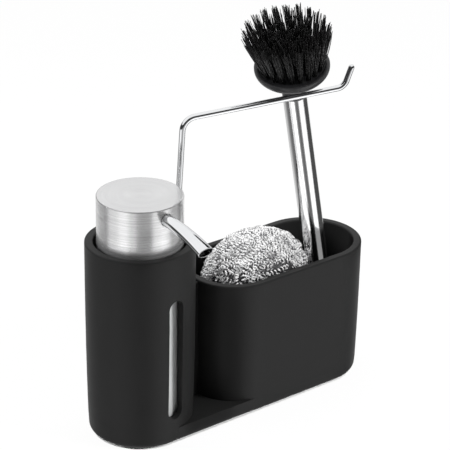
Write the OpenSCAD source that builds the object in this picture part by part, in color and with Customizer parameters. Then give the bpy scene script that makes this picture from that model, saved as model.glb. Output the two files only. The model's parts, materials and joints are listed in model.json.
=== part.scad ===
// Soap pump caddy: a cast holder with a pump sleeve and an open cup, a towel rail,
// a dish brush and a metal scourer. Millimetres, Z up.
// The origin is under the middle of the base, on the surface that the caddy stands on.
// X runs from the pump to the cup, and the spout points to -Y.

/* [Holder] */
// Length of the holder over both round ends
body_l = 211; // [200:1:225]
// Depth of the holder, front to back
body_d = 70; // [68:1:76]
// Height of the pump sleeve's rim
sleeve_h = 133; // [128:1:137]
// Height of the cup's rim
cup_h = 94.7; // [88:0.1:100]
// Wall of the sleeve and the cup
wall_t = 5.5; // [5:0.1:6]
// Gap between the sleeve and the cup, seen from the front
notch_l = 6.8; // [4:0.1:10]
// Width of the flat part of the cup's end beside the sleeve
cup_flat = 8; // [4:0.5:12]
// Height of the plinth that shows between the sleeve and the cup
plinth_h = 11.5; // [9:0.5:12]
// Thickness of the floor in the sleeve and the cup
floor_t = 11.6; // [10:0.1:13]
// How far the walls draw in at the base
taper = 1.6; // [0.5:0.1:2]
// Radius of the edge round the base
base_edge_r = 4.7; // [3:0.1:5]
// Radius of the rounded rims
rim_r = 1.2; // [0.6:0.1:2]
// Radius of the fillet inside, where the walls meet the floor
inner_edge_r = 4; // [2:0.5:5]

/* [Window] */
// Width of the level window in the sleeve
window_w = 11.4; // [8:0.1:12]
// Height of the window's lower end
window_z = 19; // [18:1:26]
// Height of the sleeve's rim above the window's upper end
window_below = 30; // [28:1:40]
// Angle of the window from the front, towards the cup
window_turn = 4; // [0:1:8]

/* [Base pad] */
// Distance from the base's edge to the pad
pad_inset = 9; // [8:0.5:14]
// Thickness of the pad
pad_t = 1.8; // [1.4:0.1:2.4]
// How far the pad stands out below the base
pad_proud = 0.6; // [0.4:0.1:1]

/* [Towel rail] */
// Diameter of the rail's wire
wire_d = 4; // [3:0.1:4.4]
// Distance of the rail's swivel axis from the sleeve's side
rail_side = 1.5; // [1:0.1:2.5]
// Place of the rail's swivel axis behind the middle
rail_y = 12; // [8:0.5:14]
// Gap between the bar and the brush's neck, which the bar passes in front
bar_gap = 0.8; // [0.7:0.1:3]
// Depth of the bar below the bend of the brush's neck, where it passes
bar_below = 1; // [0.6:0.1:3]
// Lean of the rail's post
rail_lean = 3; // [0:0.1:4]
// Length of the bar past the brush's neck
bar_past = 29.8; // [20:0.1:35]
// Rise of the bar towards its end
bar_rise = 4.2; // [2:0.1:6]
// Length of the turned-up end
rail_tip_l = 13.4; // [10:0.1:18]
// Lean of the turned-up end, outward
rail_tip_lean = 20; // [10:1:30]
// Bend radius at the post's corner
rail_bend_r = 9; // [7:0.5:12]
// Bend radius at the turned-up end
rail_tip_bend_r = 5; // [4:0.5:7]
// Depth of the wire in its socket
rail_foot_l = 26; // [20:1:32]

/* [Bottle] */
// Gap between the bottle and the sleeve
bottle_gap = 1.3; // [0.6:0.1:1.8]
// Wall of the soap bottle
bottle_wall = 1.3; // [1:0.1:1.8]
// Radius of the bottle's shoulder
shoulder_r = 7; // [5:0.5:8]
// Outer diameter of the bottle's neck
neck_d = 27; // [25:0.5:29]
// Length of the bottle's neck
neck_l = 10; // [9:0.5:14]
// Depth of the neck's rim below the sleeve's rim
neck_sink = 15.1; // [13:0.1:18]

/* [Pump] */
// Gap between the steel cap and the sleeve
cap_gap = 2; // [1.5:0.1:3]
// Height of the cap's flat top above the sleeve's rim
cap_rise = 30.9; // [27:0.1:35]
// Length of the cap's side
cap_h = 43; // [41:0.5:45]
// Sheet thickness of the cap
cap_t = 0.8; // [0.6:0.1:1]
// Travel of the cap when it is pressed
press_l = 12; // [8:0.5:12]
// Outer diameter of the pump's stem
stem_d = 6.8; // [6:0.1:7.4]
// Bore of the pump's barrel
barrel_bore_d = 12.6; // [12:0.1:13]
// Wall of the barrel
barrel_wall = 1.2; // [1:0.1:1.6]
// Wire diameter of the return spring
spring_wire_d = 0.9; // [0.7:0.1:1]
// Turns of the return spring
spring_turns = 7; // [5:1:8]
// Diameter of the inlet ball
ball_d = 4; // [3.6:0.1:4.2]
// Lift of the inlet ball
ball_lift = 1.5; // [1:0.1:1.6]
// Outer diameter of the dip tube
dip_d = 6; // [5.4:0.1:6.4]

/* [Spout] */
// Distance of the spout's mouth from the pump's axis
spout_reach = 66; // [58:1:72]
// Height of the spout's start below the cap's top
spout_below = 8; // [7:0.5:9]
// Drop of the spout's mouth below its start
spout_drop = 7.7; // [4:0.1:10]
// Outer diameter of the spout at the cap
spout_root_d = 8.2; // [7.6:0.1:8.6]
// Outer width of the spout at its mouth
spout_mouth_w = 11.4; // [9:0.1:12]
// Outer height of the spout at its mouth
spout_mouth_h = 7; // [6.8:0.1:9]
// Sheet thickness of the spout
spout_t = 0.6; // [0.5:0.05:0.8]

/* [Brush] */
// Diameter of the brush's steel handle
handle_d = 14.8; // [13.4:0.1:15.4]
// Length of the steel tube
handle_l = 186; // [178:1:192]
// Sheet thickness of the handle
handle_t = 0.8; // [0.6:0.1:1.2]
// Lean of the brush in the cup, towards the pump
brush_lean = 10.7; // [9:0.1:12]
// Distance of the handle's round foot from the end of the holder
foot_from_end = 20.2; // [17.5:0.1:23]
// Place of the handle's round foot, front to back
foot_y = -4; // [-6:0.5:2]
// Diameter of the neck under the brush head
neck_collar_d = 15.7; // [15.5:0.1:17]
// Length of the neck
neck_collar_l = 10.8; // [8:0.1:14]
// Tilt of the head on its neck
head_tilt = 11.4; // [0:0.1:14]
// Turn of the brush about its handle
head_turn = -25; // [-40:1:0]
// Diameter of the brush head
head_d = 48.6; // [44:0.1:52]
// Depth of the head's bowl
head_depth = 14; // [12:0.5:18]
// Width of the head's lip round the bristles
head_lip = 2.9; // [2:0.1:4]
// Length of the bristles above the head
bristle_l = 28; // [20:1:32]
// Spread of the bristles from root to tip
bristle_spread = 1.4; // [1.1:0.05:1.5]

/* [Scourer] */
// Depth of the metal scourer, top to bottom
scourer_h = 66; // [56:1:70]
// Height of the scourer's widest line below the cup's rim
scourer_drop = 13.7; // [10:0.1:20]
// Free length between the scourer and the cup's end
scourer_end_gap = 4.7; // [4:0.1:12]

/* [Hidden] */

// Smoothness of round surfaces
$fn = 64;
// Overrun of every cut
cut = 1;
// Running gap of a turning or sliding fit, on the radius
run_gap = 0.06;
// Gap between pieces that are fixed together
fix_gap = 0.03;
// Gap under a piece that stands on another
seat_gap = 0.1;
// Gap round a soft piece
soft_gap = 0.4;

// Holder places
half_d = body_d / 2;
sleeve_x = -body_l / 2 + half_d;
cup_right_x = body_l / 2 - half_d;
cup_l = body_l - body_d - notch_l;
cup_corner_r = half_d - cup_flat / 2;
cup_left_x = body_l / 2 - cup_l + cup_corner_r;
cup_corner_y = half_d - cup_corner_r;
floor_z = pad_proud + floor_t;
cavity_r = half_d - wall_t;
window_h = sleeve_h - window_z - window_below;
// How the walls' inward draw grows towards the base
taper_power = 2.9;
// Heights of the wall's outline points, as shares of the rim's height
height_shares = [0.1, 0.18, 0.3, 0.45, 0.62, 0.8, 0.9];
// Segments of a quarter round edge
edge_steps = 6;
// Segments of a half round end of a slot
slot_steps = 24;
// The plinth stands back this far from the widest line of the sleeve and the cup
plinth_back = 0.3;

// Web that joins the sleeve and the cup behind the middle, and carries the socket
web_front_y = -6;
web_behind = 9;
web_drop = 1.2;
rail_x = sleeve_x + half_d + rail_side;
web_back_y = rail_y + web_behind;
web_h = cup_h - web_drop;
socket_wall = 1.2;
socket_proud = 1.4;
socket_r = wire_d / 2 + run_gap + socket_wall;
socket_end_t = 3;
socket_l = rail_foot_l + socket_end_t;
rail_kink_rise = 2.2;
rail_kink_z = web_h + socket_proud + rail_kink_rise;
rail_kink_r = 12;
rail_tip_chamfer = 0.5;
wire_sides = 20;
wire_bend_step = 10;

// Pump places, on the sleeve's axis
bottle_z = floor_z + seat_gap;
bottle_r = cavity_r - bottle_gap;
bottle_foot_r = 3;
shoulder_turn = 75;
shoulder_slope_h = 1.6;
neck_top = sleeve_h - neck_sink;
neck_h = neck_top - bottle_z;
bottle_neck_z = neck_h - neck_l;
bottle_side_h = bottle_neck_z - shoulder_slope_h - shoulder_r;
neck_r = neck_d / 2;
gasket_t = 1.2;
flange_t = 1.5;
flange_z = neck_top + gasket_t + 2 * fix_gap;
collar_z = flange_z + flange_t + fix_gap;
barrel_r = barrel_bore_d / 2;
barrel_out_r = barrel_r + barrel_wall;
stem_r = stem_d / 2;
stem_wall = 1.7;
stem_bore_r = stem_r - stem_wall;
stem_flange_w = 1.2;
collar_r = 9.2;
collar_flange_t = 2.6;
collar_boss_r = 6.4;
collar_boss_l = 3.4;
collar_plug_l = 8.5;
collar_top = collar_z + collar_flange_t + collar_boss_l;
piston_h = 5.4;
piston_top = collar_z - collar_plug_l - 4 * fix_gap;
piston_z = piston_top - piston_h;
stem_end_t = 1.4;
seal_h = 1.6;
seal_w = 1.2;
closure_h = 14;
closure_wall = 1.8;
closure_gap = 0.35;
closure_rib = 0.5;
closure_ribs = 36;
closure_plate_t = 1.6;
closure_top = collar_z + closure_plate_t;
closure_r = neck_r + closure_gap + closure_wall;

// Ball valve at the foot of the barrel
ball_r = ball_d / 2;
throat_share = 0.6;
throat_r = ball_r * throat_share;
throat_t = 1.2;
chamber_gap = 1;
chamber_r = ball_r + chamber_gap;
ledge_drop = 44.2;
ledge_z = neck_top - ledge_drop;
retainer_t = 1.2;
ball_gap = 0.05;
ball_z = ledge_z - ball_lift - ball_r - 4 * ball_gap;
throat_z = ball_z - (ball_r + ball_gap) * sqrt(2) + throat_r;
dip_r = dip_d / 2;
dip_wall = 0.9;
dip_socket_l = 8;
dip_end_gap = 4;
dip_end_z = bottle_z + bottle_wall + dip_end_gap;
spring_z = ledge_z + retainer_t + 2 * fix_gap;
spring_side_gap = 0.8;
spring_r = barrel_r - spring_wire_d / 2 - spring_side_gap;
spring_top = piston_z - stem_end_t - seat_gap;

// Cap, core and spout
cap_r = cavity_r - cap_gap;
cap_top = sleeve_h + cap_rise;
cap_edge_r = 1;
core_gap = 0.1;
core_r = cap_r - cap_t - core_gap;
core_top = cap_top - cap_t - core_gap;
core_plate_t = 2.4;
core_skirt_t = 1.3;
core_skirt_short = 6;
core_skirt_h = cap_h - core_skirt_short;
hub_r = 7.4;
hub_end_gap = 1.2;
hub_z = collar_top + press_l + hub_end_gap;
stem_top_drop = 15;
stem_top = core_top - stem_top_drop;
spout_z = cap_top - spout_below;
spout_depth = 8;
spout_start = cap_r - spout_depth;
spout_boss_r = 6.2;
spout_straight_in = 5.5;
spout_curve_start = cap_r - spout_straight_in;
spout_sides = 24;
spout_rings = 12;
feed_r = 2.6;
feed_wall = 0.8;
feed_start = 12;
feed_short = 4;
feed_sides = 12;

// Brush places, along the handle from the centre of its round foot
handle_r = handle_d / 2;
foot_x = body_l / 2 - foot_from_end;
foot_z = floor_z + seat_gap + handle_r;
head_pivot_l = handle_l + neck_collar_l / 2;
neck_top_l = neck_collar_l / 2;
neck_bead_proud = 0.2;
neck_bead_r = neck_collar_d / 2 + neck_bead_proud;
neck_bead_h = neck_collar_l / 3;
foot_steps = 16;
plug_l = 14;
neck_plug_l = 16;
head_r = head_d / 2;
head_lip_h = 2;
head_lip_edge = 0.5;
bowl_steps = 12;
bowl_first = 4;
plate_r = head_r - head_lip;
plate_t = 2.4;
plate_low = 0.6;
head_rim_z = neck_top_l + head_depth;
plate_z = head_rim_z - plate_low - plate_t;
slice_t = 0.6;
slice_z = plate_z + plate_t + fix_gap;
// Rings of tufts: how many, and their radius as a share of the plate's radius
tuft_counts = [4, 10, 16, 22];
tuft_radius_shares = [0.17, 0.41, 0.66, 0.905];
strands_round = 6;
strand_pitch = 1.05;
strand_w = 0.5;

// Scourer places
handle_slope = tan(brush_lean);
pivot_x = foot_x - head_pivot_l * sin(brush_lean);
pivot_z = foot_z + head_pivot_l * cos(brush_lean);

// The rail's bar passes the brush's neck in front, just under the head
bar_pass_r = neck_bead_r + wire_d / 2 + bar_gap;
bar_pass_l = norm([pivot_x - rail_x, foot_y - rail_y]);
rail_rise = pivot_z - bar_below - bar_pass_l * tan(bar_rise) - rail_kink_z;
bar_l = (bar_pass_l + bar_past - rail_rise * tan(rail_lean)) / cos(bar_rise);
rail_turn = atan2(foot_y - rail_y, pivot_x - rail_x) - asin(bar_pass_r / bar_pass_l);

scourer_z = cup_h - scourer_drop;
scourer_left = cup_left_x - cup_corner_r + wall_t + scourer_end_gap;
handle_at_scourer = foot_x - (scourer_z - foot_z) * handle_slope;
scourer_room = handle_at_scourer - (handle_r + soft_gap) / cos(brush_lean) - scourer_left;
scourer_rz = scourer_h / 2;
// The leaning handle touches the ball above its middle, so it leaves a little less room
scourer_rx = scourer_room / 2 - pow(scourer_rz * handle_slope, 2) / (2 * scourer_room);
scourer_x = scourer_left + scourer_rx;
scourer_ry = cavity_r - soft_gap;
scourer_sides = 48;
scourer_rings = 23;
scourer_lump_share = 0.028;
// Rows of lumps from the ball's middle to its surface
scourer_lump_rows = 2;

// Points of an arc, as offsets from its centre
function arc(r, from, to, steps) =
    [for (i = [0:steps]) let (a = from + (to - from) * i / steps) [r * cos(a), r * sin(a)]];
function shifted(points, dx, dz) = [for (p = points) [p[0] + dx, p[1] + dz]];
function draw_in(z) = taper * pow(max(0, 1 - z / sleeve_h), taper_power);

// Half section of a cast wall with its floor, from the middle line out to radius r
function wall_section(r, h) = concat(
    [[0, pad_proud]],
    shifted(arc(base_edge_r, -90, 0, edge_steps),
        r - draw_in(pad_proud) - base_edge_r, pad_proud + base_edge_r),
    [for (s = height_shares) [r - draw_in(s * h), s * h]],
    shifted(arc(rim_r, 0, 90, edge_steps), r - rim_r, h - rim_r),
    shifted(arc(rim_r, 90, 180, edge_steps), r - wall_t + rim_r, h - rim_r),
    shifted(arc(inner_edge_r, 0, -90, edge_steps),
        r - wall_t - inner_edge_r, floor_z + inner_edge_r),
    [[0, floor_z]]
);

// Outline of a straight slot with round ends, along X
function slot_outline(l, w) = concat(
    shifted(arc(w / 2, -90, 90, slot_steps), l / 2 - w / 2, 0),
    shifted(arc(w / 2, 90, 270, slot_steps), w / 2 - l / 2, 0)
);

// Quads between neighbouring rings of a tube, as triangles
function ring_faces(rings, sides, base = 0, flip = false) = [
    for (i = [0:rings - 2]) for (j = [0:sides - 1])
        let (
            a = base + i * sides + j,
            b = base + i * sides + (j + 1) % sides,
            c = b + sides,
            d = a + sides
        )
        each flip ? [[a, c, b], [a, d, c]] : [[a, b, c], [a, c, d]]
];

module cast_quarter(r, h, from, turn) {
    rotate_extrude(angle = turn, start = from)
        polygon(wall_section(r, h));
}

module cast_wall_run(r, h, l) {
    rotate([90, 0, 90])
        linear_extrude(l)
            polygon(wall_section(r, h));
}

module cup_shell() {
    translate([cup_right_x, 0, 0])
        cast_quarter(half_d, cup_h, -90, 180);
    for (side = [0, 1])
        mirror([0, side, 0])
            translate([cup_left_x, 0, 0])
                cast_wall_run(half_d, cup_h, cup_right_x - cup_left_x);
    for (side = [0, 1])
        mirror([0, side, 0])
            translate([cup_left_x, cup_corner_y, 0])
                cast_quarter(cup_corner_r, cup_h, 90, 90);
    translate([cup_left_x, cup_corner_y, 0])
        rotate([90, 0, 180])
            mirror([0, 0, 1])
                linear_extrude(2 * cup_corner_y)
                    polygon(wall_section(cup_corner_r, cup_h));
}

module plinth() {
    r = half_d - plinth_back;
    section = concat(
        [[0, pad_proud]],
        shifted(arc(base_edge_r, -90, 0, edge_steps),
            r - draw_in(pad_proud) - base_edge_r, pad_proud + base_edge_r),
        [[r - draw_in(plinth_h), plinth_h], [0, plinth_h]]
    );
    for (side = [0, 1])
        mirror([0, side, 0])
            translate([sleeve_x, 0, 0])
                rotate([90, 0, 90])
                    linear_extrude(cup_right_x - sleeve_x)
                        polygon(section);
}

module web() {
    difference() {
        translate([sleeve_x, web_front_y, plinth_h / 2])
            cube([
                cup_left_x - sleeve_x - cup_corner_r / 2,
                web_back_y - web_front_y,
                web_h - plinth_h / 2
            ]);
        translate([sleeve_x, 0, 0])
            cylinder(r = half_d - wall_t / 2, h = sleeve_h);
        for (side = [-1, 1])
            translate([cup_left_x, side * cup_corner_y, 0])
                cylinder(r = cup_corner_r - wall_t / 2, h = sleeve_h);
    }
}

module window_cut() {
    translate([sleeve_x, 0, window_z + window_h / 2])
        rotate([0, 0, window_turn])
            translate([0, -cavity_r + wall_t, 0])
                rotate([90, 0, 0])
                    rotate([0, 0, 90])
                        linear_extrude(2 * wall_t + cut)
                            polygon(slot_outline(window_h, window_w));
}

module pad_shape(grow, h) {
    inset = pad_inset - grow;
    linear_extrude(h)
        polygon(slot_outline(body_l - 2 * inset, body_d - 2 * inset));
}

module caddy_body() {
    color("#2a2a2b")
        difference() {
            union() {
                translate([sleeve_x, 0, 0])
                    rotate_extrude()
                        polygon(wall_section(half_d, sleeve_h));
                cup_shell();
                plinth();
                web();
            }
            window_cut();
            translate([0, 0, pad_proud - cut])
                pad_shape(fix_gap, pad_t - pad_proud + cut);
            translate([rail_x, rail_y, web_h - socket_l - seat_gap])
                cylinder(r = socket_r + fix_gap, h = socket_l + cut);
        }
}

module base_pad() {
    color("#1b1b1b")
        pad_shape(0, pad_t);
}

module rail_socket() {
    color("#303032")
        translate([rail_x, rail_y, web_h])
            difference() {
                translate([0, 0, -socket_l])
                    cylinder(r = socket_r, h = socket_l + socket_proud);
                translate([0, 0, -rail_foot_l - seat_gap])
                    cylinder(r = wire_d / 2 + run_gap, h = rail_foot_l + seat_gap + socket_proud + cut);
            }
}

// Middle line of a wire that starts upward, as [x, z, angle from upright].
// Each step is a straight length, then a bend and its radius
function wire_line(steps, i = 0, x = 0, z = 0, a = 0) = let (
        bend = steps[i][1],
        r = bend < 0 ? -steps[i][2] : steps[i][2],
        x1 = x + steps[i][0] * sin(a),
        z1 = z + steps[i][0] * cos(a),
        n = ceil(abs(bend) / wire_bend_step),
        turn = [for (k = [1:n]) let (t = a + bend * k / n)
            [x1 + r * (cos(a) - cos(t)), z1 - r * (sin(a) - sin(t)), t]],
        end = n > 0 ? turn[n - 1] : [x1, z1, a]
    )
    concat([[x1, z1, a]], turn,
        i < len(steps) - 1 ? wire_line(steps, i + 1, end[0], end[1], end[2]) : []);
function wire_ring(p, r) = [for (j = [0:wire_sides - 1]) let (t = 360 * j / wire_sides)
    [p[0] + r * cos(t) * cos(p[2]), r * sin(t), p[1] - r * cos(t) * sin(p[2])]];
function wire_cap(e, out) = [for (j = [1:wire_sides - 2])
    out ? [e, e + j + 1, e + j] : [e, e + j, e + j + 1]];

module bent_wire(r, chamfer, steps) {
    line = concat([[0, 0, 0], [0, chamfer, 0]], wire_line(steps));
    last = line[len(line) - 1];
    tip = [last[0] + chamfer * sin(last[2]), last[1] + chamfer * cos(last[2]), last[2]];
    polyhedron(
        concat(
            wire_ring(line[0], r - chamfer),
            [for (i = [1:len(line) - 1]) each wire_ring(line[i], r)],
            wire_ring(tip, r - chamfer)
        ),
        concat(
            ring_faces(len(line) + 1, wire_sides, 0, true),
            wire_cap(0, false),
            wire_cap(len(line) * wire_sides, true)
        )
    );
}

corner_bend = 90 - rail_lean - bar_rise;
tip_bend = 90 - bar_rise - rail_tip_lean;
corner_cut = rail_bend_r * tan(corner_bend / 2);
tip_cut = rail_tip_bend_r * tan(tip_bend / 2);
kink_cut = rail_kink_r * tan(rail_lean / 2);

module towel_rail() {
    foot_z0 = web_h - rail_foot_l;
    color("#d9dadc")
        translate([rail_x, rail_y, foot_z0])
            rotate([0, 0, rail_turn])
                bent_wire(wire_d / 2, rail_tip_chamfer, [
                    [rail_kink_z - foot_z0 - kink_cut, rail_lean, rail_kink_r],
                    [rail_rise / cos(rail_lean) - kink_cut - corner_cut, corner_bend, rail_bend_r],
                    [bar_l - corner_cut - tip_cut, -tip_bend, rail_tip_bend_r],
                    [rail_tip_l - tip_cut - rail_tip_chamfer, 0, 0]
                ]);
}

module at_pump(z = 0) {
    translate([sleeve_x, 0, z])
        children();
}

module ring(r_out, r_in, h) {
    difference() {
        cylinder(r = r_out, h = h);
        translate([0, 0, -cut])
            cylinder(r = r_in, h = h + 2 * cut);
    }
}

// Outline of the bottle's body and shoulder, set in by t from its outer face
function bottle_outline(t) = concat(
    [[0, t]],
    shifted(arc(bottle_foot_r - t / 2, -90, 0, edge_steps),
        bottle_r - bottle_foot_r - t / 2, bottle_foot_r + t / 2),
    shifted(arc(shoulder_r - t, 0, shoulder_turn, edge_steps),
        bottle_r - shoulder_r, bottle_side_h),
    [[neck_r - t, bottle_neck_z - t]]
);

module soap_bottle() {
    inside = bottle_outline(bottle_wall);
    inside_points = len(inside);
    color("#dfe2e2", 0.8)
        at_pump(bottle_z)
            rotate_extrude()
                polygon(concat(
                    bottle_outline(0),
                    [[neck_r, neck_h], [neck_r - bottle_wall, neck_h]],
                    [for (i = [inside_points - 1:-1:0]) inside[i]]
                ));
}

module neck_gasket() {
    color("#8c8f92")
        at_pump(neck_top + fix_gap)
            ring(neck_r - fix_gap, barrel_out_r + 2 * fix_gap, gasket_t);
}

// Outline of the closure with its grip ribs
function ribbed_outline(r, ribs, depth) =
    [for (i = [0:ribs * 4 - 1]) let (a = 90 / ribs * i, out = i % 4 < 2 ? depth : 0)
        (r + out) * [cos(a), sin(a)]];

module screw_closure() {
    color("#e9eaea")
        at_pump(closure_top - closure_h)
            difference() {
                linear_extrude(closure_h)
                    polygon(ribbed_outline(closure_r, closure_ribs, closure_rib));
                translate([0, 0, -cut])
                    cylinder(r = neck_r + closure_gap, h = closure_h - closure_plate_t + cut);
                cylinder(r = collar_r + closure_gap, h = closure_h + cut);
            }
}

module pump_barrel() {
    nose_r = dip_r + barrel_wall;
    foot_z0 = throat_z - throat_t - dip_socket_l;
    color("#e4e6e6")
        at_pump()
            rotate_extrude()
                polygon([
                    [dip_r + fix_gap, foot_z0],
                    [nose_r, foot_z0],
                    [nose_r, throat_z - throat_t],
                    [barrel_out_r, ledge_z - barrel_wall],
                    [barrel_out_r, flange_z],
                    [neck_r - fix_gap, flange_z],
                    [neck_r - fix_gap, flange_z + flange_t],
                    [barrel_r, flange_z + flange_t],
                    [barrel_r, ledge_z],
                    [chamber_r, ledge_z],
                    [chamber_r, throat_z + chamber_r - throat_r],
                    [throat_r, throat_z],
                    [throat_r, throat_z - throat_t],
                    [dip_r + fix_gap, throat_z - throat_t]
                ]);
}

module barrel_collar() {
    color("#e9eaea")
        at_pump()
            difference() {
                union() {
                    translate([0, 0, collar_z - collar_plug_l])
                        cylinder(r = barrel_r - fix_gap, h = collar_plug_l + collar_flange_t);
                    translate([0, 0, collar_z])
                        cylinder(r = collar_r, h = collar_flange_t);
                    translate([0, 0, collar_z])
                        cylinder(r = collar_boss_r, h = collar_flange_t + collar_boss_l);
                }
                translate([0, 0, collar_z - collar_plug_l - cut])
                    cylinder(r = stem_r + run_gap, h = collar_top - collar_z + collar_plug_l + 2 * cut);
            }
}

module ball_retainer() {
    color("#d4d7d8")
        at_pump(ledge_z + fix_gap)
            ring(barrel_r - fix_gap, throat_r, retainer_t);
}

module inlet_ball() {
    color("#c9ccd0")
        at_pump(ball_z)
            sphere(r = ball_r);
}

module dip_tube() {
    top = throat_z - throat_t - fix_gap;
    color("#eceeee")
        at_pump(dip_end_z)
            ring(dip_r, dip_r - dip_wall, top - dip_end_z);
}

spring_sides = 6;
spring_steps = 8;
spring_rings = spring_turns * spring_steps + 1;
spring_rise = spring_top - spring_z - spring_wire_d;
function spring_middle(i) = let (a = 360 * i / spring_steps)
    [spring_r * cos(a), spring_r * sin(a), spring_rise * i / (spring_rings - 1)];
function spring_ring(i) = let (a = 360 * i / spring_steps, m = spring_middle(i))
    [for (j = [0:spring_sides - 1]) let (
            b = 360 * j / spring_sides,
            out = spring_wire_d / 2 * cos(b)
        )
        m + [out * cos(a), out * sin(a), spring_wire_d / 2 * sin(b)]];
// Least gap between one turn's points and the next turn's
spring_least_gap = min([
    for (i = [0:spring_rings - 1 - spring_steps])
        for (p = spring_ring(i)) for (q = spring_ring(i + spring_steps)) norm(p - q)
]);

module return_spring() {
    echo(spring_least_gap = spring_least_gap);
    color("#b9bdc2")
        at_pump(spring_z + spring_wire_d / 2)
            polyhedron(
                [for (i = [0:spring_rings - 1]) each spring_ring(i)],
                concat(
                    ring_faces(spring_rings, spring_sides, 0, false),
                    [for (j = [1:spring_sides - 2]) [0, j + 1, j]],
                    [for (j = [1:spring_sides - 2]) let (e = (spring_rings - 1) * spring_sides)
                        [e, e + j, e + j + 1]]
                )
            );
}

module pump_stem() {
    color("#e9eaea")
        at_pump()
            difference() {
                union() {
                    translate([0, 0, piston_z - stem_end_t])
                        cylinder(r = stem_r, h = stem_top - piston_z + stem_end_t);
                    translate([0, 0, piston_z - stem_end_t])
                        cylinder(r = stem_r + stem_flange_w, h = stem_end_t - fix_gap);
                }
                translate([0, 0, piston_z - stem_end_t - cut])
                    cylinder(r = stem_bore_r, h = stem_top - piston_z + stem_end_t + 2 * cut);
            }
}

module piston() {
    color("#d4d7d8")
        at_pump(piston_z)
            difference() {
                ring(barrel_r - run_gap, stem_r + fix_gap, piston_h);
                translate([0, 0, (piston_h - seal_h) / 2])
                    ring(barrel_r + cut, barrel_r - seal_w, seal_h);
            }
}

module piston_seal() {
    color("#3b3d40")
        at_pump(piston_z + (piston_h - seal_h) / 2 + fix_gap)
            ring(barrel_r - run_gap / 2, barrel_r - seal_w + fix_gap, seal_h - 2 * fix_gap);
}

module cap_shell() {
    color("#cfd0d1")
        at_pump()
            difference() {
                translate([0, 0, cap_top - cap_h])
                    rotate_extrude()
                        polygon(concat(
                            [[cap_r - cap_t, 0], [cap_r, 0]],
                            shifted(arc(cap_edge_r, 0, 90, edge_steps),
                                cap_r - cap_edge_r, cap_h - cap_edge_r),
                            [[0, cap_h], [0, cap_h - cap_t], [cap_r - cap_t, cap_h - cap_t]]
                        ));
                translate([0, 0, spout_z])
                    rotate([90, 0, 0])
                        translate([0, 0, cap_r / 2])
                            cylinder(d = spout_root_d + 4 * core_gap, h = cap_r);
            }
}

module cap_core() {
    color("#e2e4e4")
        at_pump()
            difference() {
                union() {
                    translate([0, 0, core_top - core_plate_t])
                        cylinder(r = core_r, h = core_plate_t);
                    translate([0, 0, core_top - core_skirt_h])
                        ring(core_r, core_r - core_skirt_t, core_skirt_h - core_plate_t / 2);
                    translate([0, 0, hub_z])
                        cylinder(r = hub_r, h = core_top - hub_z - core_plate_t / 2);
                    translate([0, 0, spout_z])
                        rotate([90, 0, 0])
                            cylinder(r = spout_boss_r, h = core_r - core_skirt_t / 2);
                }
                translate([0, 0, hub_z - cut])
                    cylinder(r = stem_r + run_gap, h = stem_top - hub_z + cut + seat_gap);
                translate([0, 0, spout_z])
                    rotate([90, 0, 0])
                        cylinder(r = feed_r + fix_gap, h = core_r + cut);
                translate([0, 0, spout_z])
                    rotate([90, 0, 0])
                        translate([0, 0, spout_start - fix_gap])
                            cylinder(d = spout_root_d + 2 * core_gap, h = core_r);
                translate([0, 0, stem_top - cut])
                    cylinder(r = stem_bore_r, h = spout_z - stem_top + cut);
            }
}

// The spout's middle line: level out of the cap, then an even curve down to the mouth
spout_run = spout_reach - spout_curve_start;
function spout_out(y) = max(0, y - spout_curve_start);
function spout_height(y) = spout_z - spout_drop * pow(spout_out(y) / spout_run, 2);
function spout_slope(y) = atan(2 * spout_drop * spout_out(y) / pow(spout_run, 2));
// Half the width and half the height: round at the cap, a flat oval at the mouth
function spout_half(y) = let (s = max(0, y - cap_r) / (spout_reach - cap_r))
    [spout_root_d, spout_root_d] / 2 * (1 - s) + [spout_mouth_w, spout_mouth_h] / 2 * s;
function spout_ring(y, half, sides) = let (tilt = spout_slope(y))
    [for (j = [0:sides - 1]) let (a = 360 * j / sides, up = half.y * sin(a))
        [half.x * cos(a), -y - up * sin(tilt), spout_height(y) + up * cos(tilt)]];

// A tube along the spout's line, open at both ends
module spout_tube(from, to, rings, sides, wall, halves) {
    places = [for (i = [0:rings - 1]) from + (to - from) * i / (rings - 1)];
    outer = [for (i = [0:rings - 1]) each spout_ring(places[i], halves[i], sides)];
    inner = [for (i = [0:rings - 1]) each spout_ring(places[i], halves[i] - [wall, wall], sides)];
    n = rings * sides;
    last = n - sides;
    polyhedron(
        concat(outer, inner),
        concat(
            ring_faces(rings, sides, 0, true),
            ring_faces(rings, sides, n, false),
            [for (j = [0:sides - 1]) let (k = (j + 1) % sides)
                each [[j, k, n + k], [j, n + k, n + j]]],
            [for (j = [0:sides - 1]) let (k = (j + 1) % sides)
                each [[last + j, n + last + k, last + k], [last + j, n + last + j, n + last + k]]]
        )
    );
}

module spout() {
    color("#dcdddf")
        at_pump()
            spout_tube(spout_start, spout_reach, spout_rings, spout_sides, spout_t,
                [for (i = [0:spout_rings - 1])
                    spout_half(spout_start + (spout_reach - spout_start) * i / (spout_rings - 1))]);
}

module feed_tube() {
    color("#1f1f20")
        at_pump()
            spout_tube(feed_start, spout_reach - feed_short, spout_rings, feed_sides, feed_wall,
                [for (i = [0:spout_rings - 1]) [feed_r, feed_r]]);
}

// Places its children on the handle's line, at a distance from the centre of the round foot
module on_brush(l = 0) {
    translate([foot_x, foot_y, foot_z])
        rotate([0, -brush_lean, 0])
            rotate([0, 0, head_turn])
                translate([0, 0, l])
                    children();
}

module on_head() {
    on_brush(head_pivot_l)
        rotate([head_tilt, 0, 0])
            children();
}

module brush_handle() {
    color("#c4c6c8")
        on_brush()
            ring(handle_r, handle_r - handle_t, handle_l);
}

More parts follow.
